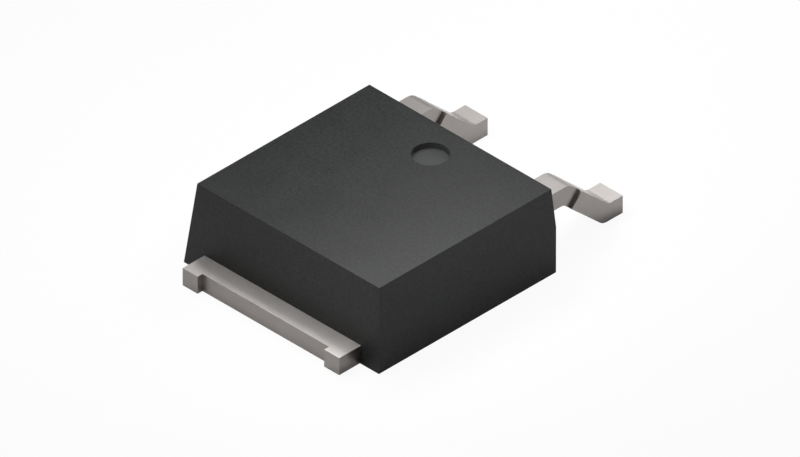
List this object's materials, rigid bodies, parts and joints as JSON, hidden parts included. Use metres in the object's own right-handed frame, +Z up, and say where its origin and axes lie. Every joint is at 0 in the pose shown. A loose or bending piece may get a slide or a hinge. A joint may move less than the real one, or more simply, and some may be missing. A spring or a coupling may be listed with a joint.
{
  "type": "schottky diode",
  "caption": "Surface-mount power diode: black moulded body on a solderable metal tab, with gull-wing leads at the far end and a round dimple in the top.",
  "frame": {"origin": "middle of the footprint, tab ears to lead toes, on the plane that the part is soldered to", "axes": "+X across the width, +Y from the tab towards the leads, +Z up out of the solder plane"},
  "size_m": [0.0066, 0.0096, 0.0023],
  "materials": {
    "mould_compound": "satin",
    "tinned_copper": "satin",
    "silicon": "polished",
    "solder": "satin",
    "bond_aluminium": "satin"
  },
  "bodies": {
    "root": {"moulded_body": "mould_compound", "cathode_header": "tinned_copper", "left_anode_lead": "tinned_copper", "right_anode_lead": "tinned_copper", "schottky_die": "silicon", "die_solder": "solder", "left_bond_wire": "bond_aluminium", "right_bond_wire": "bond_aluminium"}
  },
  "joints": []
}
